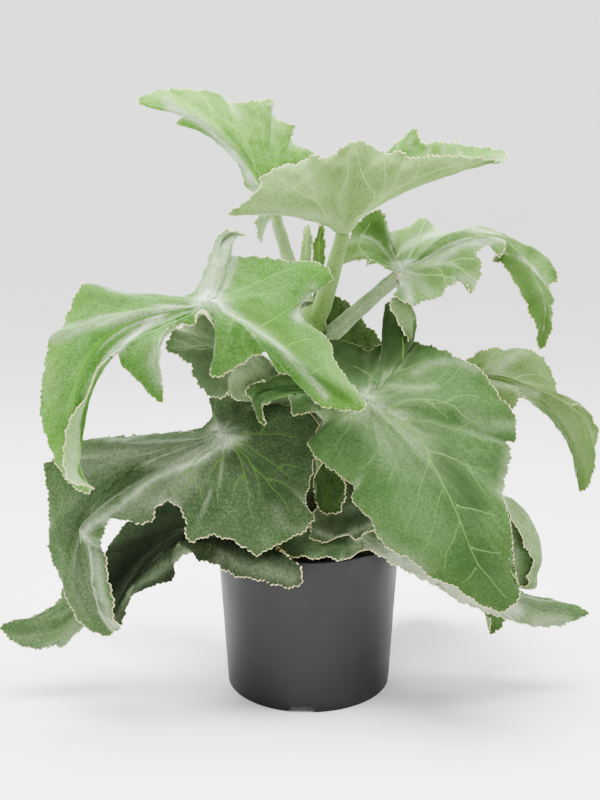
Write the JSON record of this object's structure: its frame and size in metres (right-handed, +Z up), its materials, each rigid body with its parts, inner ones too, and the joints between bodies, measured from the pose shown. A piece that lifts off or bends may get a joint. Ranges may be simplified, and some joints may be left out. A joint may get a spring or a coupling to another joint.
{
  "type": "potted felt bush kalanchoe",
  "caption": "Young felt bush kalanchoe: large, lobed, wavy felted leaves on long stalks round one thick stem, standing in a round black plastic nursery pot of soil.",
  "frame": {"origin": "middle of the pot's base, on the surface that it stands on", "axes": "+Z up along the stem; the plant's show side faces -Y, with +X to its right"},
  "size_m": [0.6052, 0.3041, 0.6046],
  "materials": {
    "pot_plastic": "satin black moulded plastic, lightly scuffed",
    "potting_mix": "dark crumbly peat and bark mix",
    "stem_felt": "pale green stem under whitish felt",
    "leaf_felt": "grey-green leaf under short whitish felt"
  },
  "bodies": {
    "root": {"pot": "pot_plastic", "soil": "potting_mix", "stem": "stem_felt", "leafLeftUpper": "leaf_felt", "leafLeftLower": "leaf_felt", "leafRightFront": "leaf_felt", "leafRightUpper": "leaf_felt", "leafTopFront": "leaf_felt", "leafTopLeft": "leaf_felt", "leafBehindLeft": "leaf_felt", "leafLowLeft": "leaf_felt", "leafFarLeft": "leaf_felt", "leafRightLow": "leaf_felt", "leafRightBehind": "leaf_felt", "leafRightMiddle": "leaf_felt", "leafCentreSmall": "leaf_felt", "leafCentreLow": "leaf_felt", "leafBehindStem": "leaf_felt", "leafBackRight": "leaf_felt", "leafBackLeft": "leaf_felt", "leafYoungLeft": "leaf_felt", "leafYoungRight": "leaf_felt"}
  },
  "joints": []
}
